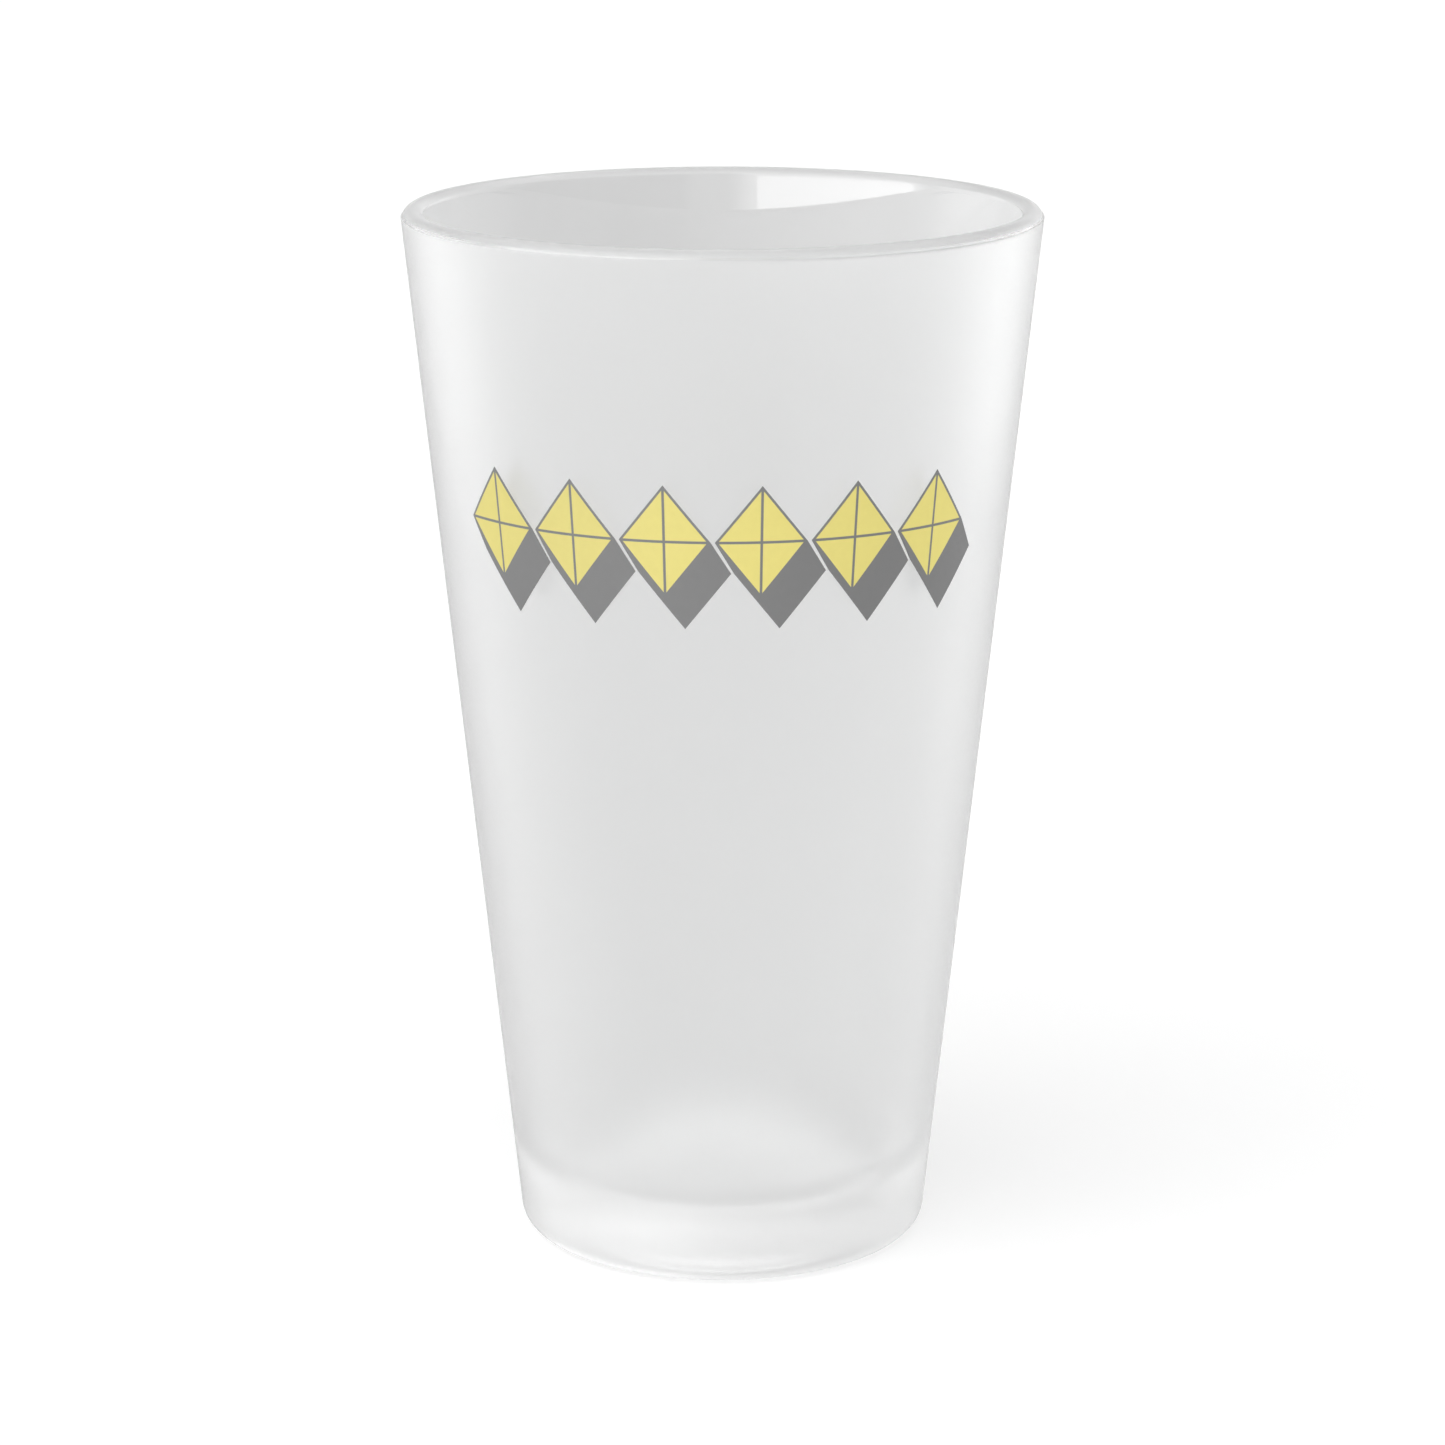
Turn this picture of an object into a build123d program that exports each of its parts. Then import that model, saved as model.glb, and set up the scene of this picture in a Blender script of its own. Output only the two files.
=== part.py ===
from build123d import *
import os
from math import atan, cos, sin

# A 16 oz pint glass with a frosted outside and a printed band of lozenges.
# Millimetres, +Z up. The origin is the centre of the foot, on the surface that the
# glass stands on. The printed side faces -Y, with +X to its right.

# Outside of the bare glass: one straight cone between a small heel and a round lip.
glass_height = 149.0
mouth_radius = 44.7
foot_radius = 29.2
heel_radius = 2.9
lip_radius = 1.45

# Inside: the wall is even from the lip down to a shoulder, blended with a wide arc, and
# grows thicker from there towards a heavy base.
wall_at_rim = 3.0
wall_at_floor = 7.0
shoulder_height = 115.0
shoulder_blend = 400.0
base_thickness = 9.3
floor_corner_radius = 6.0

# Underside: a shallow domed punt leaves a flat foot ring to stand on.
punt_radius = 21.5
punt_depth = 1.4

# Frosting: a skin on the outside that stops just under the lip and above the foot.
coat_thickness = 0.12
coat_bottom = 0.6
coat_top = 147.8

# Print: six lozenges in a row round the front, each with a grey outline, a grey block
# shadow down to the right, and a yellow face parted into four facets.
ink_thickness = 0.08
lozenge_count = 6
lozenge_width = 12.4
lozenge_height = 15.5
lozenge_pitch = 13.0
row_height = 109.75
shadow_right = 2.6
shadow_drop = 4.3
outline_width = 0.32
parting_width = 0.36
film_margin = 3.0

# Worked out from the dimensions above.
taper = atan((mouth_radius - foot_radius) / glass_height)
row_bottom = row_height - lozenge_height / 2 - shadow_drop - film_margin
row_top = row_height + lozenge_height / 2 + film_margin


def wall_radius(height, film=0.0):
    """Outer radius of the conical wall at a height, with a film of some thickness on it."""
    return foot_radius + height * (mouth_radius - foot_radius) / glass_height + film / cos(taper)


def lozenge_plane(angle):
    """Upright plane on the axis that faces out at an angle to the right of the front."""
    outward = (sin(angle), -cos(angle), 0)
    rightward = (cos(angle), sin(angle), 0)
    return Plane(origin=(0, 0, row_height), x_dir=rightward, z_dir=outward)


os.makedirs("parts", exist_ok=True)

# ---- Glass body ------------------------------------------------------------------------
floor_radius = wall_radius(base_thickness) - wall_at_floor
shoulder_radius = wall_radius(shoulder_height) - wall_at_rim
with BuildPart() as glass_body:
    with BuildSketch(Plane.XZ):
        with BuildLine():
            FilletPolyline(
                (punt_radius, 0),
                (foot_radius, 0),
                (mouth_radius, glass_height),
                (mouth_radius - wall_at_rim, glass_height),
                (shoulder_radius, shoulder_height),
                (floor_radius, base_thickness),
                (0, base_thickness),
                radius=[
                    heel_radius,
                    lip_radius,
                    lip_radius,
                    shoulder_blend,
                    floor_corner_radius,
                ],
            )
            Line((0, base_thickness), (0, punt_depth))
            TangentArc((0, punt_depth), (punt_radius, 0), tangent=(1, 0))
        make_face()
    revolve(axis=Axis.Z)
glass_body.part.label = "glass_body"
export_step(glass_body.part, "parts/glass_body.step")

# ---- Frosted coat ----------------------------------------------------------------------
with BuildPart() as frosted_coat:
    with BuildSketch(Plane.XZ):
        with BuildLine():
            FilletPolyline(
                (punt_radius, 0),
                (foot_radius, 0),
                (mouth_radius, glass_height),
                radius=heel_radius,
            )
            offset(amount=coat_thickness, side=Side.RIGHT, closed=True)
        make_face()
        with Locations((0, coat_bottom)):
            Rectangle(
                2 * mouth_radius,
                coat_top - coat_bottom,
                align=(Align.MIN, Align.MIN),
                mode=Mode.INTERSECT,
            )
    revolve(axis=Axis.Z)
frosted_coat.part.label = "frosted_coat"
export_step(frosted_coat.part, "parts/frosted_coat.step")

# ---- Ink film, the conical layer that every printed shape is cut from --------------------
with BuildPart() as ink_film:
    with BuildSketch(Plane.XZ):
        with BuildLine():
            Polyline(
                (wall_radius(row_bottom, coat_thickness), row_bottom),
                (wall_radius(row_top, coat_thickness), row_top),
                (wall_radius(row_top, coat_thickness + ink_thickness), row_top),
                (wall_radius(row_bottom, coat_thickness + ink_thickness), row_bottom),
                close=True,
            )
        make_face()
    revolve(axis=Axis.Z)

# ---- Artwork of one lozenge, drawn flat round its own centre ------------------------------
half_width = lozenge_width / 2
half_height = lozenge_height / 2
diamond_corners = [(half_width, 0), (0, half_height), (-half_width, 0), (0, -half_height)]

with BuildSketch() as yellow_facets:
    Polygon(*diamond_corners, align=None)
    offset(amount=-outline_width, kind=Kind.INTERSECTION, mode=Mode.REPLACE)
    Rectangle(parting_width, lozenge_height, mode=Mode.SUBTRACT)
    Rectangle(lozenge_width, parting_width, mode=Mode.SUBTRACT)

with BuildSketch() as grey_block:
    with Locations((0, 0), (shadow_right, -shadow_drop)):
        Polygon(*diamond_corners, align=None)
    make_hull()
    add(yellow_facets.sketch, mode=Mode.SUBTRACT)

# ---- Printed lozenges, numbered from left to right ---------------------------------------
row_radius = wall_radius(row_height, coat_thickness)
first_shift = -((lozenge_count - 1) * lozenge_pitch + shadow_right) / 2
for number in range(1, lozenge_count + 1):
    shift = first_shift + (number - 1) * lozenge_pitch
    plane = lozenge_plane(shift / row_radius)
    for colour, artwork in (("yellow", yellow_facets), ("grey", grey_block)):
        with BuildPart() as ink:
            with BuildSketch(plane):
                add(artwork.sketch)
            extrude(amount=mouth_radius + film_margin)
            add(ink_film.part, mode=Mode.INTERSECT)
        ink.part.label = f"lozenge_{number}_{colour}_ink"
        export_step(ink.part, f"parts/{ink.part.label}.step")
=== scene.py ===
import math

import bmesh
import bpy
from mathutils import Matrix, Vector


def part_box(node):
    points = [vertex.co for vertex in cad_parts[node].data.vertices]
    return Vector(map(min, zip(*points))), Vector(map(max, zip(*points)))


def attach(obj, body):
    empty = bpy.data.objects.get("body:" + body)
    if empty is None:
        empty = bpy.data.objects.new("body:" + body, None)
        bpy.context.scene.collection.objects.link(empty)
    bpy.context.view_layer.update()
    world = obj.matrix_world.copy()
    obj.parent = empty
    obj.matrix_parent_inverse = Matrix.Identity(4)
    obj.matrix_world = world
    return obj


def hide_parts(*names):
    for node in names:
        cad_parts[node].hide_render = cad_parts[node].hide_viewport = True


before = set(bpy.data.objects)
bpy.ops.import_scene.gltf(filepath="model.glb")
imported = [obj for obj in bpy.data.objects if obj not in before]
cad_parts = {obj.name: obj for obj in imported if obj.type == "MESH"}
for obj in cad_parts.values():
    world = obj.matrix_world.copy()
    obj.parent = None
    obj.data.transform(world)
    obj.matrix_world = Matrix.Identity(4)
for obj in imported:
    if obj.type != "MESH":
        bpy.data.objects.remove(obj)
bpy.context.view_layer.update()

# A frosted pint glass with a printed row of lozenges. Metres, +Z up, the print faces -Y.

MM = 0.001

# ---- Shape of the glass, as the CAD model has it -----------------------------------------
GLASS_LOW, GLASS_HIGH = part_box("glass_body")
COAT_LOW, COAT_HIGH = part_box("frosted_coat")
HEIGHT = GLASS_HIGH.z
MOUTH_RADIUS = 44.7 * MM
FOOT_RADIUS = 29.2 * MM
HEEL_RADIUS = 2.9 * MM
LIP_RADIUS = 1.45 * MM
WALL_AT_RIM = 3.0 * MM
WALL_AT_FLOOR = 7.0 * MM
SHOULDER_HEIGHT = 115.0 * MM
SHOULDER_RADIUS = 400.0 * MM
BASE_THICKNESS = 9.3 * MM
FLOOR_CORNER_RADIUS = 6.0 * MM
PUNT_RADIUS = 21.5 * MM
PUNT_DEPTH = 1.4 * MM
COAT_THICKNESS = 0.12 * MM
TAPER = math.atan((MOUTH_RADIUS - FOOT_RADIUS) / HEIGHT)

# ---- Shape of the print -------------------------------------------------------------------
INK_THICKNESS = 0.08 * MM
LOZENGE_COUNT = 6
LOZENGE_HALF_WIDTH = 6.2 * MM
LOZENGE_HALF_HEIGHT = 7.75 * MM
LOZENGE_PITCH = 13.0 * MM
SHADOW_RIGHT = 2.6 * MM
SHADOW_DROP = 4.3 * MM
OUTLINE_WIDTH = 0.32 * MM
PARTING_WIDTH = 0.36 * MM
ROW_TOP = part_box("lozenge_1_grey_ink")[1].z
ROW_HEIGHT = ROW_TOP - LOZENGE_HALF_HEIGHT
INK_STRIP = 0.5 * MM

# ---- Mesh fineness ------------------------------------------------------------------------
SEGMENTS = 720
ARC_STEP = math.radians(4.0)
PUNT_STEPS = 10
LONGEST_STEP = 12.0 * MM
SUPPORT_STEP = 0.15 * MM
SHARP_ANGLE = math.radians(35)
ROUNDING = 1e-9

# ---- Materials: noise scales in cycles per metre, spreads as (lowest, highest) ------------
NOISE_SPAN = (0.3, 0.7)
GLASS_IOR = 1.52
GLASS_TINT = (0.997, 1.0, 0.999, 1)
POLISH_SCALE = 60
CLEAR_ROUGHNESS = (0.0, 0.03)
LIP_ROUGHNESS = (0.27, 0.33)
WAVE_SCALE = 45
WAVE_HEIGHT = 0.002 * MM
FROSTING_IOR = 1.50
FROSTING_CLOUD_SCALE = 35
FROSTING_DIM = (0.992, 0.996, 0.996)
FROSTING_BRIGHT = (1.0, 1.0, 1.0)
FROSTING_PATCH_SCALE = 2500
FROSTING_ROUGHNESS = (0.40, 0.48)
FROSTING_GRAIN_SCALE = 9000
FROSTING_GRAIN_HEIGHT = 0.004 * MM
INK_IOR = 1.48
INK_SPECULAR = 0.3
INK_COVER_SCALE = 900
INK_SATIN_SCALE = 1800
INK_ROUGHNESS = (0.42, 0.58)
INK_SCREEN_SCALE = 5000
INK_SCREEN_HEIGHT = 0.01 * MM
YELLOW_LIGHT = (0.79, 0.70, 0.225)
YELLOW_DARK = (0.74, 0.65, 0.205)
GREY_LIGHT = (0.205, 0.205, 0.205)
GREY_DARK = (0.188, 0.188, 0.188)


# ==== Profiles and solids of revolution ====================================================
def rounded(corners):
    """Line through corners of (radius from the axis, height, fillet radius), with each fillet an arc."""
    line = []
    for index, (r, z, fillet) in enumerate(corners):
        here = Vector((r, z))
        if fillet == 0:
            line.append(here)
            continue
        back = (Vector(corners[index - 1][:2]) - here).normalized()
        ahead = (Vector(corners[index + 1][:2]) - here).normalized()
        half = back.angle(ahead) / 2
        centre = here + (back + ahead).normalized() * fillet / math.sin(half)
        start = here + back * fillet / math.tan(half) - centre
        end = here + ahead * fillet / math.tan(half) - centre
        turn = start.angle(end)
        steps = max(2, math.ceil(turn / ARC_STEP))
        for step in range(steps + 1):
            share = step / steps
            weight_start = math.sin((1 - share) * turn) / math.sin(turn)
            weight_end = math.sin(share * turn) / math.sin(turn)
            line.append(centre + start * weight_start + end * weight_end)
    return line


def supported(line):
    """The line with its long runs divided, and a point close to each end of a run to hold its slope."""
    fine = [line[0]]
    for start, end in zip(line, line[1:]):
        run = end - start
        if run.length > 2 * LONGEST_STEP:
            direction = run.normalized()
            inner_start = start + direction * SUPPORT_STEP
            inner_end = end - direction * SUPPORT_STEP
            steps = math.ceil((inner_end - inner_start).length / LONGEST_STEP)
            fine += [inner_start.lerp(inner_end, step / steps) for step in range(steps + 1)]
        fine.append(end)
    return fine


def turned(name, line, slots, closed=False):
    """Solid of revolution of a line in (radius, height). slots gives each run's material index."""
    mesh = bmesh.new()
    rings = []
    for r, z in line:
        if r < ROUNDING:
            rings.append([mesh.verts.new((0, 0, z))])
            continue
        angles = [2 * math.pi * step / SEGMENTS for step in range(SEGMENTS)]
        rings.append([mesh.verts.new((r * math.cos(a), r * math.sin(a), z)) for a in angles])
    pairs = list(zip(rings, rings[1:]))
    if closed:
        pairs.append((rings[-1], rings[0]))
    for (low, high), slot in zip(pairs, slots):
        for step in range(SEGMENTS):
            following = (step + 1) % SEGMENTS
            corners = [low[step % len(low)], low[following % len(low)]]
            corners += [high[following % len(high)], high[step % len(high)]]
            face = mesh.faces.new(list(dict.fromkeys(corners)))
            face.material_index = slot
            face.smooth = True
    bmesh.ops.recalc_face_normals(mesh, faces=mesh.faces)
    return finished(name, mesh)


def finished(name, mesh):
    """Scene object from a bmesh, smooth but for its real edges."""
    data = bpy.data.meshes.new(name)
    mesh.to_mesh(data)
    mesh.free()
    data.set_sharp_from_angle(angle=SHARP_ANGLE)
    piece = bpy.data.objects.new(name, data)
    bpy.context.scene.collection.objects.link(piece)
    return piece


def place(piece, slot, materials, *nodes):
    """Gives a piece its materials and its place in the frame, standing for CAD nodes."""
    for material in materials:
        piece.data.materials.append(material)
    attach(piece, "root")
    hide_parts(*nodes)


# ==== Materials ============================================================================
def new_material(name):
    """Empty node material with its shader and its output linked."""
    material = bpy.data.materials.new(name)
    material.use_nodes = True
    tree = material.node_tree
    tree.nodes.clear()
    shader = tree.nodes.new("ShaderNodeBsdfPrincipled")
    output = tree.nodes.new("ShaderNodeOutputMaterial")
    tree.links.new(shader.outputs["BSDF"], output.inputs["Surface"])
    return material, tree, shader


def noise(tree, scale, detail=2.0, roughness=0.5):
    """Noise over the object's own space, with its scale in cycles per metre."""
    coordinates = tree.nodes.new("ShaderNodeTexCoord")
    texture = tree.nodes.new("ShaderNodeTexNoise")
    texture.inputs["Scale"].default_value = scale
    texture.inputs["Detail"].default_value = detail
    texture.inputs["Roughness"].default_value = roughness
    tree.links.new(coordinates.outputs["Object"], texture.inputs["Vector"])
    return texture.outputs["Fac"]


def spread(tree, value, ends):
    """Remaps a noise value, from its usual span to the ends given."""
    remap = tree.nodes.new("ShaderNodeMapRange")
    remap.inputs["From Min"].default_value = NOISE_SPAN[0]
    remap.inputs["From Max"].default_value = NOISE_SPAN[1]
    remap.inputs["To Min"].default_value = ends[0]
    remap.inputs["To Max"].default_value = ends[1]
    tree.links.new(value, remap.inputs["Value"])
    return remap.outputs["Result"]


def tinted(tree, value, first, second):
    """Colour that runs from first to second as value goes from 0 to 1."""
    ramp = tree.nodes.new("ShaderNodeValToRGB")
    ramp.color_ramp.elements[0].color = (*first, 1)
    ramp.color_ramp.elements[1].color = (*second, 1)
    tree.links.new(value, ramp.inputs["Fac"])
    return ramp.outputs["Color"]


def bumped(tree, shader, value, height):
    """Bump of a real height in metres."""
    bump = tree.nodes.new("ShaderNodeBump")
    bump.inputs["Strength"].default_value = 1.0
    bump.inputs["Distance"].default_value = height
    tree.links.new(value, bump.inputs["Height"])
    tree.links.new(bump.outputs["Normal"], shader.inputs["Normal"])


def clear_glass(name, roughness_ends):
    """Soda-lime glass, with uneven polish and the faint waviness of a moulding."""
    material, tree, shader = new_material(name)
    shader.inputs["Transmission Weight"].default_value = 1.0
    shader.inputs["IOR"].default_value = GLASS_IOR
    shader.inputs["Base Color"].default_value = GLASS_TINT
    roughness = spread(tree, noise(tree, POLISH_SCALE, detail=4), roughness_ends)
    tree.links.new(roughness, shader.inputs["Roughness"])
    bumped(tree, shader, noise(tree, WAVE_SCALE, detail=1), WAVE_HEIGHT)
    return material


def frosting():
    """Satin frosting: fine grain that scatters light both ways through the glass."""
    material, tree, shader = new_material("frosting")
    shader.inputs["Transmission Weight"].default_value = 1.0
    shader.inputs["IOR"].default_value = FROSTING_IOR
    clouds = noise(tree, FROSTING_CLOUD_SCALE, detail=3)
    colour = tinted(tree, clouds, FROSTING_DIM, FROSTING_BRIGHT)
    tree.links.new(colour, shader.inputs["Base Color"])
    roughness = spread(tree, noise(tree, FROSTING_PATCH_SCALE, detail=3), FROSTING_ROUGHNESS)
    tree.links.new(roughness, shader.inputs["Roughness"])
    bumped(tree, shader, noise(tree, FROSTING_GRAIN_SCALE, detail=2), FROSTING_GRAIN_HEIGHT)
    return material


def bond():
    """Where frosting and glass are one body: light passes with nothing to bend it."""
    material = bpy.data.materials.new("bond")
    material.use_nodes = True
    tree = material.node_tree
    tree.nodes.clear()
    shader = tree.nodes.new("ShaderNodeBsdfTransparent")
    output = tree.nodes.new("ShaderNodeOutputMaterial")
    tree.links.new(shader.outputs["BSDF"], output.inputs["Surface"])
    return material


def ink(name, light, dark):
    """Satin printed ink: slightly uneven cover, with a fine screen grain."""
    material, tree, shader = new_material(name)
    shader.inputs["IOR"].default_value = INK_IOR
    shader.inputs["Specular IOR Level"].default_value = INK_SPECULAR
    colour = tinted(tree, noise(tree, INK_COVER_SCALE, detail=5, roughness=0.6), dark, light)
    tree.links.new(colour, shader.inputs["Base Color"])
    roughness = spread(tree, noise(tree, INK_SATIN_SCALE, detail=3), INK_ROUGHNESS)
    tree.links.new(roughness, shader.inputs["Roughness"])
    bumped(tree, shader, noise(tree, INK_SCREEN_SCALE, detail=3), INK_SCREEN_HEIGHT)
    return material


# ==== Glass and frosting ===================================================================
# Material slots: of the glass body, where BONDED also serves the frosting, and of the frosting.
CLEAR, BONDED, LIP = 0, 1, 2
FROSTED = 0
LIP_DEPTH = 0.6 * LIP_RADIUS


def make_glass_body(clear, bonded, lip):
    """The moulded glass: punt, foot ring, heel, wall, lip, inside wall and floor."""
    floor_radius = FOOT_RADIUS + BASE_THICKNESS * math.tan(TAPER) - WALL_AT_FLOOR
    shoulder_radius = FOOT_RADIUS + SHOULDER_HEIGHT * math.tan(TAPER) - WALL_AT_RIM
    outside = rounded([
        (PUNT_RADIUS, 0, 0),
        (FOOT_RADIUS, 0, HEEL_RADIUS),
        (MOUTH_RADIUS, HEIGHT, LIP_RADIUS),
        (MOUTH_RADIUS - WALL_AT_RIM, HEIGHT, LIP_RADIUS),
        (shoulder_radius, SHOULDER_HEIGHT, SHOULDER_RADIUS),
        (floor_radius, BASE_THICKNESS, FLOOR_CORNER_RADIUS),
        (0, BASE_THICKNESS, 0),
    ])
    sphere_radius = (PUNT_RADIUS ** 2 + PUNT_DEPTH ** 2) / (2 * PUNT_DEPTH)
    punt = []
    for step in range(PUNT_STEPS):
        r = PUNT_RADIUS * step / PUNT_STEPS
        sag = sphere_radius - math.sqrt(sphere_radius ** 2 - r ** 2)
        punt.append(Vector((r, PUNT_DEPTH - sag)))
    line = supported(punt + outside)
    line = split_at(split_at(line, COAT_LOW.z), COAT_HIGH.z)
    widest = max(range(len(line)), key=lambda index: line[index].x)
    slots = []
    for index, (start, end) in enumerate(zip(line, line[1:])):
        middle = (start.y + end.y) / 2
        under_coat = index < widest and COAT_LOW.z < middle < COAT_HIGH.z
        on_outside = under_coat and min(start.x, end.x) > PUNT_RADIUS
        on_lip = middle > HEIGHT - LIP_DEPTH
        slots.append(BONDED if on_outside else LIP if on_lip else CLEAR)
    piece = turned("glass_body_clear", line, slots)
    place(piece, "clear_glass", [clear, bonded, lip], "glass_body")


def split_at(line, height):
    """The line with a point added where its outside, before its widest point, crosses a height."""
    widest = max(range(len(line)), key=lambda index: line[index].x)
    for index in range(widest):
        start, end = line[index], line[index + 1]
        if start.x > PUNT_RADIUS and start.y < height < end.y:
            crossing = start.lerp(end, (height - start.y) / (end.y - start.y))
            return line[:index + 1] + [crossing] + line[index + 1:]
    return line


def make_frosted_coat(frosted, bonded):
    """The frosting: a skin on the outside of the wall and most of the heel."""
    bare = supported(rounded([
        (PUNT_RADIUS, 0, 0),
        (FOOT_RADIUS, 0, HEEL_RADIUS),
        (MOUTH_RADIUS, HEIGHT, 0),
    ]))
    bare = split_at(split_at(bare, COAT_LOW.z), COAT_HIGH.z)
    lowest, highest = COAT_LOW.z - ROUNDING, COAT_HIGH.z + ROUNDING
    inner = [point for point in bare if lowest <= point.y <= highest]
    outer = []
    for index, point in enumerate(inner):
        before = inner[max(index - 1, 0)]
        after = inner[min(index + 1, len(inner) - 1)]
        along = (after - before).normalized()
        outer.append(point + Vector((along.y, -along.x)) * COAT_THICKNESS)
    outer[0].y = COAT_LOW.z
    outer[-1].y = COAT_HIGH.z
    line = outer + inner[::-1]
    slots = [FROSTED] * len(outer) + [BONDED] * (len(inner) - 1) + [FROSTED]
    piece = turned("frosted_coat_satin", line, slots, closed=True)
    place(piece, "frosted_coating", [frosted, bonded], "frosted_coat")


# ==== Print ================================================================================
def in_facet(point):
    """Whether a point of a lozenge's artwork lies in one of its four yellow facets."""
    slope = math.hypot(1 / LOZENGE_HALF_WIDTH, 1 / LOZENGE_HALF_HEIGHT)
    reach = abs(point.x) / LOZENGE_HALF_WIDTH + abs(point.y) / LOZENGE_HALF_HEIGHT
    inside = reach < 1 - OUTLINE_WIDTH * slope
    return inside and min(abs(point.x), abs(point.y)) > PARTING_WIDTH / 2


def cut(mesh, point, normal):
    """Cuts the flat artwork along a line."""
    everything = mesh.verts[:] + mesh.edges[:] + mesh.faces[:]
    bmesh.ops.bisect_plane(mesh, geom=everything, plane_co=point, plane_no=normal, dist=ROUNDING)


def flat_artwork(yellow):
    """Flat faces of a lozenge's yellow facets, or of its grey outline and block shadow."""
    mesh = bmesh.new()
    half_width, half_height = LOZENGE_HALF_WIDTH, LOZENGE_HALF_HEIGHT
    outline = [
        (0, half_height),
        (-half_width, 0),
        (0, -half_height),
        (SHADOW_RIGHT, -half_height - SHADOW_DROP),
        (SHADOW_RIGHT + half_width, -SHADOW_DROP),
        (half_width, 0),
    ]
    if SHADOW_DROP / SHADOW_RIGHT > half_height / half_width:
        outline[2:3] = [(SHADOW_RIGHT - half_width, -SHADOW_DROP)]
    mesh.faces.new([mesh.verts.new((x, y, 0)) for x, y in outline])
    slope = math.hypot(1 / half_width, 1 / half_height)
    inset = 1 - OUTLINE_WIDTH * slope
    for side in (-1, 1):
        cut(mesh, (side * PARTING_WIDTH / 2, 0, 0), (1, 0, 0))
        cut(mesh, (0, side * PARTING_WIDTH / 2, 0), (0, 1, 0))
        for rise in (-1, 1):
            cut(mesh, (side * half_width * inset, 0, 0), (side / half_width, rise / half_height, 0))
    strips = math.ceil((SHADOW_RIGHT + half_width) / INK_STRIP)
    for strip in range(-strips, strips + 1):
        cut(mesh, (strip * INK_STRIP, 0, 0), (1, 0, 0))
    other = [face for face in mesh.faces if in_facet(face.calc_center_median()) != yellow]
    bmesh.ops.delete(mesh, geom=other, context="FACES")
    return mesh


def in_fixed_order(mesh):
    """The same surface, smooth, with its faces in an order that is the same each run.

    The order that cutting and extruding leave them in differs from run to run.
    """
    mesh.verts.index_update()
    rings = []
    for face in mesh.faces:
        ring = [vertex.index for vertex in face.verts]
        first = ring.index(min(ring))
        rings.append(ring[first:] + ring[:first])
    fixed = bmesh.new()
    points = [fixed.verts.new(vertex.co) for vertex in mesh.verts]
    for ring in sorted(rings):
        fixed.faces.new([points[index] for index in ring]).smooth = True
    mesh.free()
    return fixed


def make_ink_piece(number, colour, material):
    """One lozenge's ink of one colour, wrapped on the frosting, standing for its CAD node."""
    mesh = flat_artwork(colour == "yellow")
    flat_faces = mesh.faces[:]
    raised = bmesh.ops.extrude_face_region(mesh, geom=flat_faces)["geom"]
    on_top = {item for item in raised if isinstance(item, bmesh.types.BMVert)}
    row_length = (LOZENGE_COUNT - 1) * LOZENGE_PITCH + SHADOW_RIGHT
    coat = COAT_THICKNESS / math.cos(TAPER)
    row_radius = FOOT_RADIUS + ROW_HEIGHT * math.tan(TAPER) + coat
    angle = ((number - 1) * LOZENGE_PITCH - row_length / 2) / row_radius
    outward = Vector((math.sin(angle), -math.cos(angle), 0))
    rightward = Vector((math.cos(angle), math.sin(angle), 0))
    for vertex in mesh.verts:
        right, up = vertex.co.x, vertex.co.y
        lift = INK_THICKNESS / math.cos(TAPER) if vertex in on_top else 0
        height = ROW_HEIGHT + up
        radius = FOOT_RADIUS + height * math.tan(TAPER) + coat + lift
        depth = math.sqrt(radius ** 2 - right ** 2)
        vertex.co = rightward * right + outward * depth + Vector((0, 0, height))
    bmesh.ops.recalc_face_normals(mesh, faces=mesh.faces)
    piece = finished(f"lozenge_{number}_{colour}_print", in_fixed_order(mesh))
    place(piece, f"{colour}_print", [material], f"lozenge_{number}_{colour}_ink")


# ==== Studio ===============================================================================
FLOOR_WIDTH = 16.0
FLOOR_GAP = 0.02 * MM
FLOOR_PAINT = (0.31, 0.31, 0.31, 1)
FLOOR_GLOW = 0.75
FLOOR_ROUGHNESS = 0.9


def make_floor():
    """Plain pale floor, a hair below the foot so that glass and floor don't share a plane.

    It is seen by the camera alone, and its glow lifts it to the backdrop's white.
    """
    bpy.ops.mesh.primitive_plane_add(size=FLOOR_WIDTH, location=(0, 0, -FLOOR_GAP))
    floor = bpy.context.object
    floor.name = "studio_floor"
    material, tree, shader = new_material("floor_paint")
    shader.inputs["Base Color"].default_value = FLOOR_PAINT
    shader.inputs["Emission Color"].default_value = (1, 1, 1, 1)
    shader.inputs["Emission Strength"].default_value = FLOOR_GLOW
    shader.inputs["Roughness"].default_value = FLOOR_ROUGHNESS
    shader.inputs["Specular IOR Level"].default_value = 0.0
    floor.data.materials.append(material)
    floor.visible_diffuse = False
    floor.visible_glossy = False
    floor.visible_transmission = False
    floor.visible_shadow = False


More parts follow.
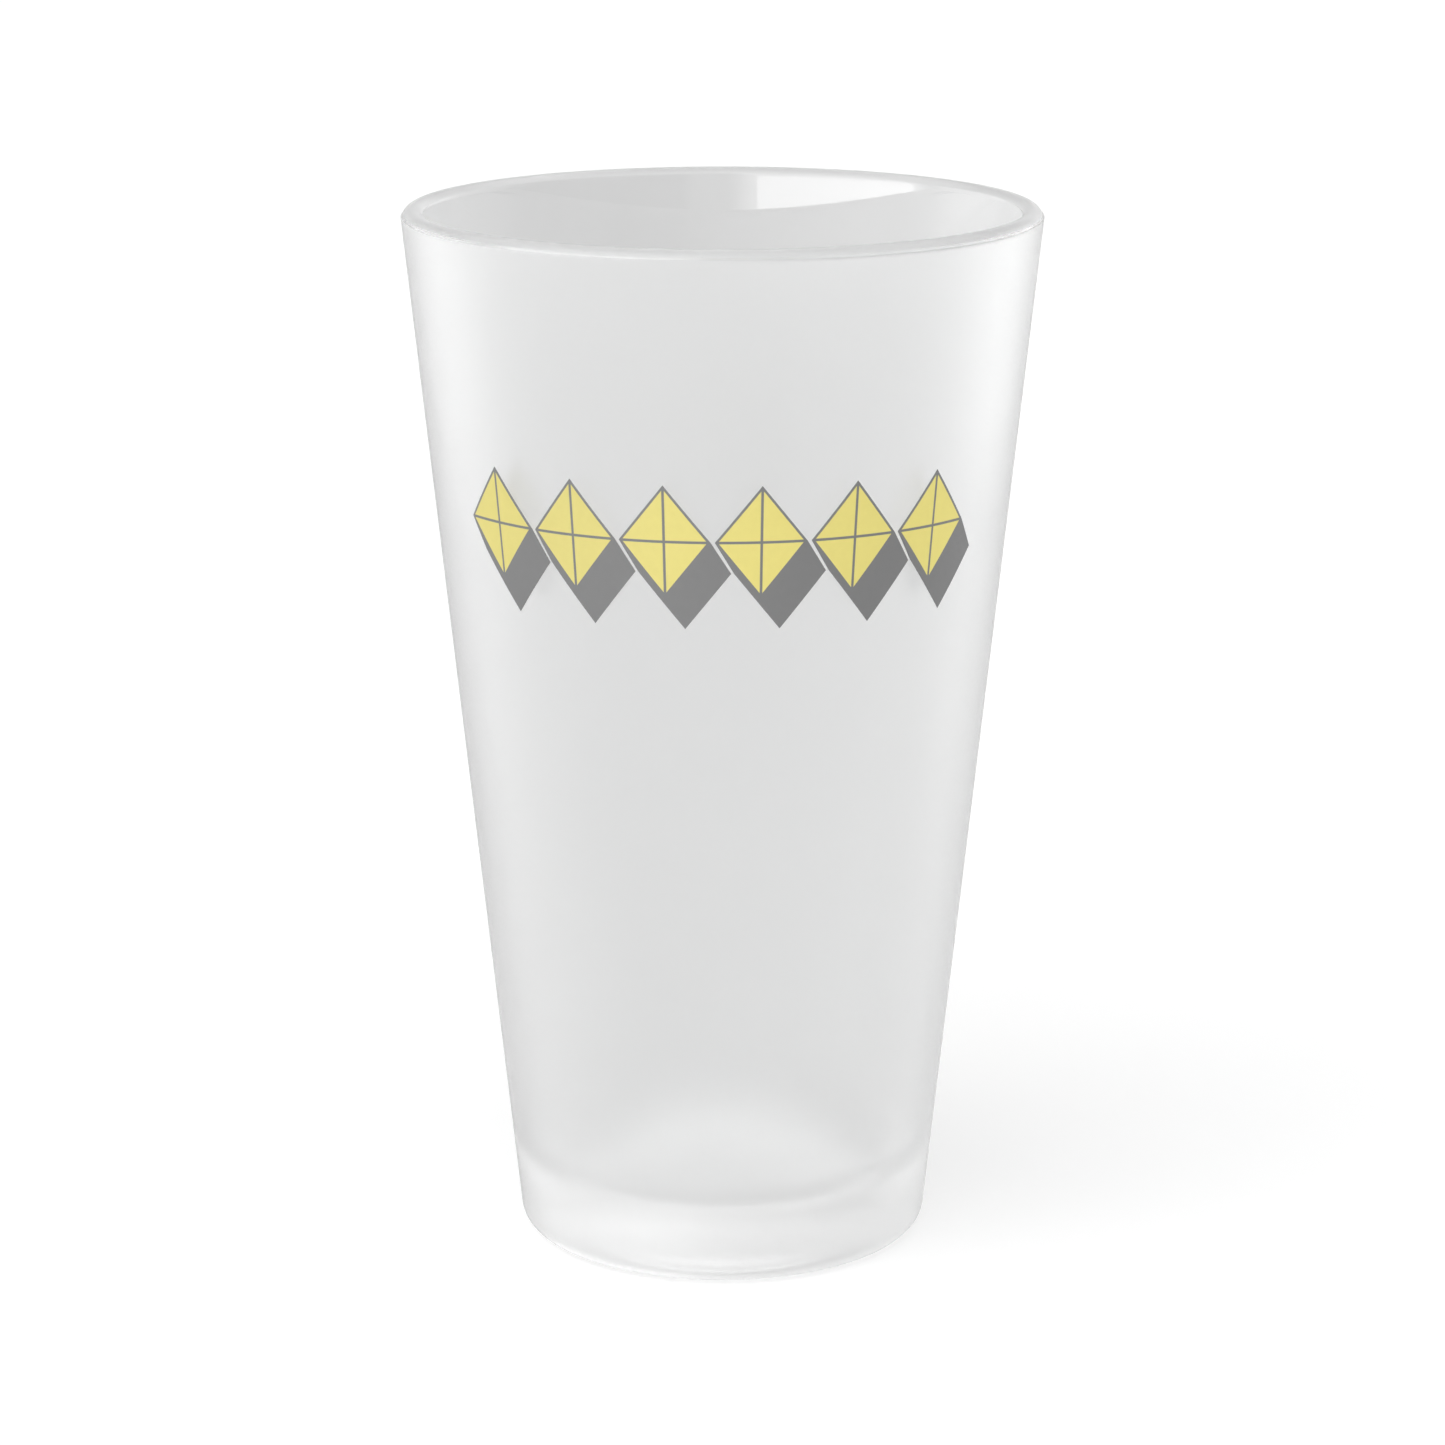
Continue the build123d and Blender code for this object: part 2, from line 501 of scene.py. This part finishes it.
# Each panel of the studio, as seen from the glass: the azimuth of its middle (0 towards the
# camera, 90 to the right), its half width, its lowest and highest elevation, the softness of
# its edges, all in degrees, and its radiance above the room's.
PANEL_COLOUR = (0.8, 0.8, 0.8, 1)
AMBIENT = 0.68
PANELS = {
    "key_seen_through": (-42, 28, -8, 22, 8, 0.5),
    "front_fill": (0, 14, -22, 50, 8, 0.4),
    "left_edge": (-120, 24, -22, 22, 8, 1.25),
    "right_edge": (120, 24, -22, 22, 8, 1.2),
    "right_dark": (50, 36, 0, 22, 8, -0.4),
    "right_back": (150, 25, -22, 22, 8, 0.35),
    "back_low": (175, 40, 0, 22, 8, 0.65),
    "back_high": (180, 80, 34, 60, 8, 1.5),
    "overhead": (0, 180, 48, 90, 12, 0.6),
    "table": (0, 180, -90, -14, 10, 0.2),
}
BACKDROP_WHITE = 1.06

# The same for the key light. It is seen in reflections but not through the glass, where the
# far weaker key_seen_through stands in for it, so that the glass isn't burnt out from the side.
KEY_PANELS = {
    "key": (-48, 34, -8, 22, 1.5, 3.6),
    "key_spill": (-48, 40, -20, 55, 12, 3.0),
}
KEY_SCREEN_RADIUS = 3.0
KEY_SCREEN_MARGIN = 8
KEY_SCREEN_COLUMNS = 24
KEY_SCREEN_ROWS = 20


def towards(azimuth, elevation):
    """Direction from the glass at an azimuth (0 towards the camera, 90 to the right) and elevation."""
    turn, rise = math.radians(azimuth), math.radians(elevation)
    level = math.cos(rise)
    return Vector((math.sin(turn) * level, -math.cos(turn) * level, math.sin(rise)))


def panel_glow(tree, direction, panels):
    """Radiance of the panels together, towards a direction from the glass."""

    def calculate(operation, *values):
        node = tree.nodes.new("ShaderNodeMath")
        node.operation = operation
        for socket, value in zip(node.inputs, values):
            if isinstance(value, (int, float)):
                socket.default_value = value
            else:
                tree.links.new(value, socket)
        return node.outputs["Value"]

    def ramp(value, start, end):
        node = tree.nodes.new("ShaderNodeMapRange")
        node.interpolation_type = "SMOOTHSTEP"
        node.inputs["From Min"].default_value = start
        node.inputs["From Max"].default_value = end
        tree.links.new(value, node.inputs["Value"])
        return node.outputs["Result"]

    split = tree.nodes.new("ShaderNodeSeparateXYZ")
    tree.links.new(direction, split.inputs["Vector"])
    x, y, z = split.outputs
    elevation = calculate("ARCSINE", z)
    flat_length = calculate("SQRT", calculate("ADD", calculate("MULTIPLY", x, x),
                                              calculate("MULTIPLY", y, y)))
    total = None
    for azimuth, half_width, low, high, softness, radiance in panels.values():
        middle = math.radians(azimuth)
        along = calculate("ADD", calculate("MULTIPLY", x, math.sin(middle)),
                          calculate("MULTIPLY", y, -math.cos(middle)))
        turn = calculate("ARCCOSINE", calculate("DIVIDE", along, flat_length))
        soft = math.radians(softness)
        glow = calculate("MULTIPLY",
                         ramp(elevation, math.radians(low) - soft / 2, math.radians(low) + soft / 2),
                         ramp(elevation, math.radians(high) + soft / 2, math.radians(high) - soft / 2))
        if half_width < 180:
            edge = math.radians(half_width)
            glow = calculate("MULTIPLY", glow, ramp(turn, edge + soft / 2, edge - soft / 2))
        glow = calculate("MULTIPLY", glow, radiance)
        total = glow if total is None else calculate("ADD", total, glow)
    return total


def make_world(ambient, panels):
    """Studio surroundings: an even room with soft panels, and a plain white backdrop in view."""
    world = bpy.data.worlds.new("studio")
    world.use_nodes = True
    tree = world.node_tree
    tree.nodes.clear()
    direction = tree.nodes.new("ShaderNodeTexCoord").outputs["Generated"]
    total = tree.nodes.new("ShaderNodeMath")
    total.inputs[1].default_value = ambient
    tree.links.new(panel_glow(tree, direction, panels), total.inputs[0])
    surroundings = tree.nodes.new("ShaderNodeBackground")
    surroundings.inputs["Color"].default_value = PANEL_COLOUR
    tree.links.new(total.outputs["Value"], surroundings.inputs["Strength"])
    backdrop = tree.nodes.new("ShaderNodeBackground")
    backdrop.inputs["Color"].default_value = (1, 1, 1, 1)
    backdrop.inputs["Strength"].default_value = BACKDROP_WHITE
    chosen = tree.nodes.new("ShaderNodeMixShader")
    path = tree.nodes.new("ShaderNodeLightPath")
    tree.links.new(path.outputs["Is Camera Ray"], chosen.inputs["Fac"])
    tree.links.new(surroundings.outputs["Background"], chosen.inputs[1])
    tree.links.new(backdrop.outputs["Background"], chosen.inputs[2])
    output = tree.nodes.new("ShaderNodeOutputWorld")
    tree.links.new(chosen.outputs["Shader"], output.inputs["Surface"])
    bpy.context.scene.world = world
    world.cycles_visibility.diffuse = False


def make_key_screen(panels):
    """The key light: a curved screen round the front left, seen by reflections alone."""
    spans = [(azimuth - half_width, azimuth + half_width, lowest, highest)
             for azimuth, half_width, lowest, highest, _, _ in panels.values()]
    lefts, rights, lows, highs = zip(*spans)
    left, right = min(lefts) - KEY_SCREEN_MARGIN, max(rights) + KEY_SCREEN_MARGIN
    low, high = min(lows) - KEY_SCREEN_MARGIN, max(highs) + KEY_SCREEN_MARGIN
    mesh = bmesh.new()
    grid = []
    for row in range(KEY_SCREEN_ROWS + 1):
        elevation = low + (high - low) * row / KEY_SCREEN_ROWS
        line = []
        for column in range(KEY_SCREEN_COLUMNS + 1):
            azimuth = left + (right - left) * column / KEY_SCREEN_COLUMNS
            line.append(mesh.verts.new(towards(azimuth, elevation) * KEY_SCREEN_RADIUS))
        grid.append(line)
    for row in range(KEY_SCREEN_ROWS):
        for column in range(KEY_SCREEN_COLUMNS):
            mesh.faces.new((grid[row][column], grid[row][column + 1],
                            grid[row + 1][column + 1], grid[row + 1][column]))
    screen = finished("key_screen", mesh)
    material = bpy.data.materials.new("key_screen_light")
    material.use_nodes = True
    tree = material.node_tree
    tree.nodes.clear()
    position = tree.nodes.new("ShaderNodeNewGeometry").outputs["Position"]
    unit = tree.nodes.new("ShaderNodeVectorMath")
    unit.operation = "NORMALIZE"
    tree.links.new(position, unit.inputs[0])
    light = tree.nodes.new("ShaderNodeEmission")
    light.inputs["Color"].default_value = PANEL_COLOUR
    tree.links.new(panel_glow(tree, unit.outputs["Vector"], panels), light.inputs["Strength"])
    clear = tree.nodes.new("ShaderNodeBsdfTransparent")
    both = tree.nodes.new("ShaderNodeAddShader")
    tree.links.new(light.outputs["Emission"], both.inputs[0])
    tree.links.new(clear.outputs["BSDF"], both.inputs[1])
    output = tree.nodes.new("ShaderNodeOutputMaterial")
    tree.links.new(both.outputs["Shader"], output.inputs["Surface"])
    screen.data.materials.append(material)
    screen.visible_camera = False
    screen.visible_diffuse = False
    screen.visible_transmission = False
    screen.visible_shadow = False


# Each lamp, as seen from the glass: azimuth (0 towards the camera, 90 to the right) and
# elevation of its middle and its width across, in degrees, and its strength. The key throws
# the soft shadow on the floor; the two level fills only even out the light on the print.
LAMPS = {
    "key_lamp": (-35, 66, 60, 3.0),
    "left_fill": (-60, 0, 30, 2.1),
    "right_fill": (60, 0, 30, 2.9),
}


def make_lamps(lamps):
    """Soft lamps for the print and the floor; the glass is lit by the panels alone."""
    for name, (azimuth, elevation, width, strength) in lamps.items():
        lamp = bpy.data.lights.new(name, "SUN")
        lamp.energy = strength
        lamp.angle = math.radians(width)
        stand = bpy.data.objects.new(name, lamp)
        stand.rotation_euler = towards(azimuth, elevation).to_track_quat("Z", "Y").to_euler()
        stand.visible_glossy = False
        stand.visible_transmission = False
        bpy.context.scene.collection.objects.link(stand)


CAMERA_DISTANCE = 600.9 * MM
CAMERA_ELEVATION = 14.64
CAMERA_AIM_HEIGHT = 74.6 * MM
CAMERA_NEAREST = 10.0 * MM
FOCAL_LENGTH = 104.26
SENSOR_WIDTH = 36.0


def make_camera():
    """A long lens, a little above the glass and straight in front of its print."""
    data = bpy.data.cameras.new("camera")
    data.lens = FOCAL_LENGTH
    data.sensor_width = SENSOR_WIDTH
    data.clip_start = CAMERA_NEAREST
    camera = bpy.data.objects.new("camera", data)
    back = towards(0, CAMERA_ELEVATION)
    camera.location = Vector((0, 0, CAMERA_AIM_HEIGHT)) + back * CAMERA_DISTANCE
    camera.rotation_euler = back.to_track_quat("Z", "Y").to_euler()
    bpy.context.scene.collection.objects.link(camera)
    bpy.context.scene.camera = camera


# How far light is followed through frosting and glass, and across the bond between them.
GLASS_BOUNCES = 24
BOND_BOUNCES = 32

make_camera()
make_lamps(LAMPS)
make_world(AMBIENT, PANELS)
make_key_screen(KEY_PANELS)
make_floor()

clear_material = clear_glass("clear_glass", CLEAR_ROUGHNESS)
lip_material = clear_glass("fire_polished_lip", LIP_ROUGHNESS)
bond_material = bond()
make_glass_body(clear_material, bond_material, lip_material)
make_frosted_coat(frosting(), bond_material)

inks = {
    "yellow": ink("yellow_ink", YELLOW_LIGHT, YELLOW_DARK),
    "grey": ink("grey_ink", GREY_LIGHT, GREY_DARK),
}
for lozenge in range(1, LOZENGE_COUNT + 1):
    for ink_colour, ink_material in inks.items():
        make_ink_piece(lozenge, ink_colour, ink_material)

scene = bpy.context.scene
scene.view_settings.view_transform = "Standard"
scene.cycles.max_bounces = GLASS_BOUNCES
scene.cycles.glossy_bounces = GLASS_BOUNCES
scene.cycles.transmission_bounces = GLASS_BOUNCES
scene.cycles.transparent_max_bounces = BOND_BOUNCES
